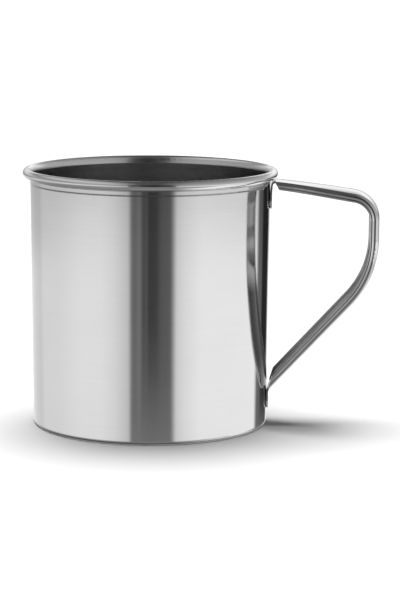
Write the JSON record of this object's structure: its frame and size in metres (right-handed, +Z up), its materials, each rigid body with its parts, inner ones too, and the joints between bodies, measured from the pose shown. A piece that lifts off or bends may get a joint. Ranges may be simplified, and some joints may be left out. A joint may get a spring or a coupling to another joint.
{
  "type": "shaving mug",
  "caption": "Straight-sided stainless steel shaving mug with a rolled rim and an open ear-shaped strip handle welded to its wall.",
  "frame": {"origin": "centre of the flat foot ring on the underside of the cup, at the height of the surface the mug stands on", "axes": "+Z up along the cup's axis, +X towards the handle, the XZ plane is the mirror plane"},
  "size_m": [0.1119, 0.08, 0.0807],
  "materials": {
    "body_steel": "polished, with fine lines round the wall",
    "handle_steel": "polished",
    "weld_steel": "as welded"
  },
  "bodies": {
    "root": {"cup_body": "body_steel", "handle": "handle_steel", "upper_spot_welds": "weld_steel", "lower_spot_welds": "weld_steel"}
  },
  "joints": []
}
